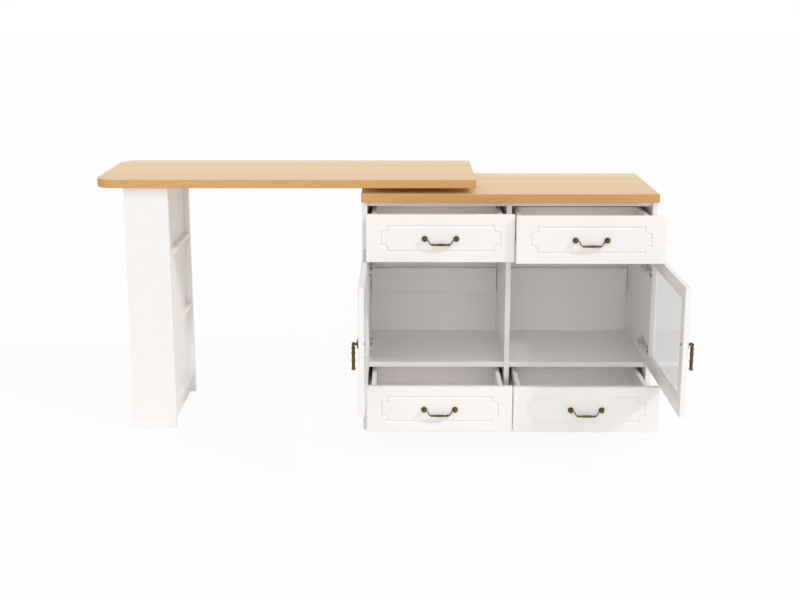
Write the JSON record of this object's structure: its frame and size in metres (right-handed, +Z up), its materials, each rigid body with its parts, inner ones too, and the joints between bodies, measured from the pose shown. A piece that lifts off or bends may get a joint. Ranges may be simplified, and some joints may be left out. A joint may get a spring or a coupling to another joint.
{
  "type": "kitchen island",
  "caption": "Kitchen island cabinet with drawers, glazed cupboard doors and a long wooden table top that swivels out on a rolling shelf leg.",
  "frame": {"origin": "on the floor, under the middle of the cabinet", "axes": "+X to the right seen from the drawer side, +Y towards the back panel, +Z up; the table top reaches out towards -X at rest"},
  "size_m": [1.9842, 0.924, 0.925],
  "materials": {
    "white_lacquer": "satin white lacquer on fibreboard",
    "oiled_beech": "oiled solid beech, grain along the top",
    "plywood": "plain birch plywood",
    "antique_brass": "darkened, rubbed bright on its edges",
    "slide_steel": "grey zinc plate",
    "zinc_steel": "bright zinc plate",
    "clear_glass": "clear float glass",
    "roller_plastic": "moulded dark grey"
  },
  "bodies": {
    "cabinet": {"side_panel_left": "white_lacquer", "side_panel_right": "white_lacquer", "divider_panel": "white_lacquer", "bottom_panel": "white_lacquer", "plinth": "white_lacquer", "fixed_shelves": "white_lacquer", "back_rails": "white_lacquer", "top_rails": "white_lacquer", "back_panel": "white_lacquer", "worktop": "oiled_beech", "slide_rails": "slide_steel", "hinge_arms": "zinc_steel", "swivel_spacer": "plywood", "swivel_plate_lower": "zinc_steel"},
    "table": {"table_top": "oiled_beech", "leg_front_panel": "white_lacquer", "leg_back_panel": "white_lacquer", "leg_inner_panels": "white_lacquer", "leg_shelves": "white_lacquer", "roller_brackets": "zinc_steel", "swivel_plate_upper": "zinc_steel"},
    "ball_cage": {"swivel_ball_cage": "zinc_steel"},
    "roller_front": {"roller_front": "roller_plastic"},
    "roller_back": {"roller_back": "roller_plastic"},
    "drawer_top_left": {"drawer_top_left_front": "white_lacquer", "drawer_top_left_box": "white_lacquer", "drawer_top_left_pull_posts": "antique_brass", "drawer_top_left_slide_inner": "slide_steel"},
    "drawer_top_left_middle": {"drawer_top_left_slide_middle": "slide_steel"},
    "drawer_top_left_bail": {"drawer_top_left_bail": "antique_brass"},
    "drawer_top_right": {"drawer_top_right_front": "white_lacquer", "drawer_top_right_box": "white_lacquer", "drawer_top_right_pull_posts": "antique_brass", "drawer_top_right_slide_inner": "slide_steel"},
    "drawer_top_right_middle": {"drawer_top_right_slide_middle": "slide_steel"},
    "drawer_top_right_bail": {"drawer_top_right_bail": "antique_brass"},
    "drawer_bottom_left": {"drawer_bottom_left_front": "white_lacquer", "drawer_bottom_left_box": "white_lacquer", "drawer_bottom_left_pull_posts": "antique_brass", "drawer_bottom_left_slide_inner": "slide_steel"},
    "drawer_bottom_left_middle": {"drawer_bottom_left_slide_middle": "slide_steel"},
    "drawer_bottom_left_bail": {"drawer_bottom_left_bail": "antique_brass"},
    "drawer_bottom_right": {"drawer_bottom_right_front": "white_lacquer", "drawer_bottom_right_box": "white_lacquer", "drawer_bottom_right_pull_posts": "antique_brass", "drawer_bottom_right_slide_inner": "slide_steel"},
    "drawer_bottom_right_middle": {"drawer_bottom_right_slide_middle": "slide_steel"},
    "drawer_bottom_right_bail": {"drawer_bottom_right_bail": "antique_brass"},
    "door_left": {"door_left_frame": "white_lacquer", "door_left_glass": "clear_glass", "door_left_hinge_cups": "zinc_steel", "door_left_pull_post": "antique_brass"},
    "door_left_links": {"door_left_hinge_links": "zinc_steel"},
    "door_left_drop": {"door_left_pull_drop": "antique_brass"},
    "door_right": {"door_right_frame": "white_lacquer", "door_right_glass": "clear_glass", "door_right_hinge_cups": "zinc_steel", "door_right_pull_post": "antique_brass"},
    "door_right_links": {"door_right_hinge_links": "zinc_steel"},
    "door_right_drop": {"door_right_pull_drop": "antique_brass"}
  },
  "joints": [
    {"name": "table_swing", "type": "hinge", "parent": "cabinet", "child": "table", "pos_m": [-0.32, 0, 0], "axis": [0, 0, -1], "range_deg": [0, 180]},
    {"name": "ball_cage_turn", "type": "hinge", "parent": "cabinet", "child": "ball_cage", "pos_m": [-0.32, 0, 0], "axis": [0, 0, -1], "range_deg": [0, 90]},
    {"name": "roller_front_turn", "type": "hinge", "parent": "table", "child": "roller_front", "pos_m": [-1.2935, -0.134, 0.028], "axis": [1, 0, 0], "continuous": true},
    {"name": "roller_back_turn", "type": "hinge", "parent": "table", "child": "roller_back", "pos_m": [-1.2935, 0.122, 0.028], "axis": [1, 0, 0], "continuous": true},
    {"name": "drawer_top_left_slide", "type": "slide", "parent": "cabinet", "child": "drawer_top_left", "axis": [0, -1, 0], "range_m": [-0.203, 0.147]},
    {"name": "drawer_top_left_middle_slide", "type": "slide", "parent": "cabinet", "child": "drawer_top_left_middle", "axis": [0, -1, 0], "range_m": [-0.1015, 0.0735]},
    {"name": "drawer_top_left_bail_swing", "type": "hinge", "parent": "drawer_top_left", "child": "drawer_top_left_bail", "pos_m": [-0.249, -0.422, 0.761], "axis": [-1, 0, 0], "range_deg": [-25, 95]},
    {"name": "drawer_top_right_slide", "type": "slide", "parent": "cabinet", "child": "drawer_top_right", "axis": [0, -1, 0], "range_m": [-0.224, 0.126]},
    {"name": "drawer_top_right_middle_slide", "type": "slide", "parent": "cabinet", "child": "drawer_top_right_middle", "axis": [0, -1, 0], "range_m": [-0.112, 0.063]},
    {"name": "drawer_top_right_bail_swing", "type": "hinge", "parent": "drawer_top_right", "child": "drawer_top_right_bail", "pos_m": [0.249, -0.443, 0.761], "axis": [-1, 0, 0], "range_deg": [-25, 95]},
    {"name": "drawer_bottom_left_slide", "type": "slide", "parent": "cabinet", "child": "drawer_bottom_left", "axis": [0, -1, 0], "range_m": [-0.228, 0.122]},
    {"name": "drawer_bottom_left_middle_slide", "type": "slide", "parent": "cabinet", "child": "drawer_bottom_left_middle", "axis": [0, -1, 0], "range_m": [-0.114, 0.061]},
    {"name": "drawer_bottom_left_bail_swing", "type": "hinge", "parent": "drawer_bottom_left", "child": "drawer_bottom_left_bail", "pos_m": [-0.249, -0.447, 0.171], "axis": [-1, 0, 0], "range_deg": [-25, 95]},
    {"name": "drawer_bottom_right_slide", "type": "slide", "parent": "cabinet", "child": "drawer_bottom_right", "axis": [0, -1, 0], "range_m": [-0.231, 0.119]},
    {"name": "drawer_bottom_right_middle_slide", "type": "slide", "parent": "cabinet", "child": "drawer_bottom_right_middle", "axis": [0, -1, 0], "range_m": [-0.1155, 0.0595]},
    {"name": "drawer_bottom_right_bail_swing", "type": "hinge", "parent": "drawer_bottom_right", "child": "drawer_bottom_right_bail", "pos_m": [0.249, -0.45, 0.171], "axis": [-1, 0, 0], "range_deg": [-25, 95]},
    {"name": "door_left_hinge", "type": "hinge", "parent": "cabinet", "child": "door_left", "pos_m": [-0.5085, -0.2015, 0.466], "axis": [0, 0, -1], "range_deg": [-90, 10]},
    {"name": "door_left_links_turn", "type": "hinge", "parent": "cabinet", "child": "door_left_links", "pos_m": [-0.484, -0.173, 0.466], "axis": [0, 0, -1], "range_deg": [-90, 10]},
    {"name": "door_left_drop_swing", "type": "hinge", "parent": "door_left", "child": "door_left_drop", "pos_m": [-0.528, -0.688, 0.49], "axis": [0, 1, 0], "range_deg": [-5, 90]},
    {"name": "door_right_hinge", "type": "hinge", "parent": "cabinet", "child": "door_right", "pos_m": [0.5085, -0.2015, 0.466], "axis": [0, 0, 1], "range_deg": [-90, 10]},
    {"name": "door_right_links_turn", "type": "hinge", "parent": "cabinet", "child": "door_right_links", "pos_m": [0.484, -0.173, 0.466], "axis": [0, 0, 1], "range_deg": [-90, 10]},
    {"name": "door_right_drop_swing", "type": "hinge", "parent": "door_right", "child": "door_right_drop", "pos_m": [0.528, -0.688, 0.49], "axis": [0, -1, 0], "range_deg": [-5, 90]}
  ],
  "couplings": [
    {"joint": "ball_cage_turn", "follows": "table_swing", "ratio": 0.5},
    {"joint": "drawer_top_left_middle_slide", "follows": "drawer_top_left_slide", "ratio": 0.5},
    {"joint": "drawer_top_right_middle_slide", "follows": "drawer_top_right_slide", "ratio": 0.5},
    {"joint": "drawer_bottom_left_middle_slide", "follows": "drawer_bottom_left_slide", "ratio": 0.5},
    {"joint": "drawer_bottom_right_middle_slide", "follows": "drawer_bottom_right_slide", "ratio": 0.5},
    {"joint": "door_left_links_turn", "follows": "door_left_hinge", "ratio": 1},
    {"joint": "door_right_links_turn", "follows": "door_right_hinge", "ratio": 1}
  ]
}
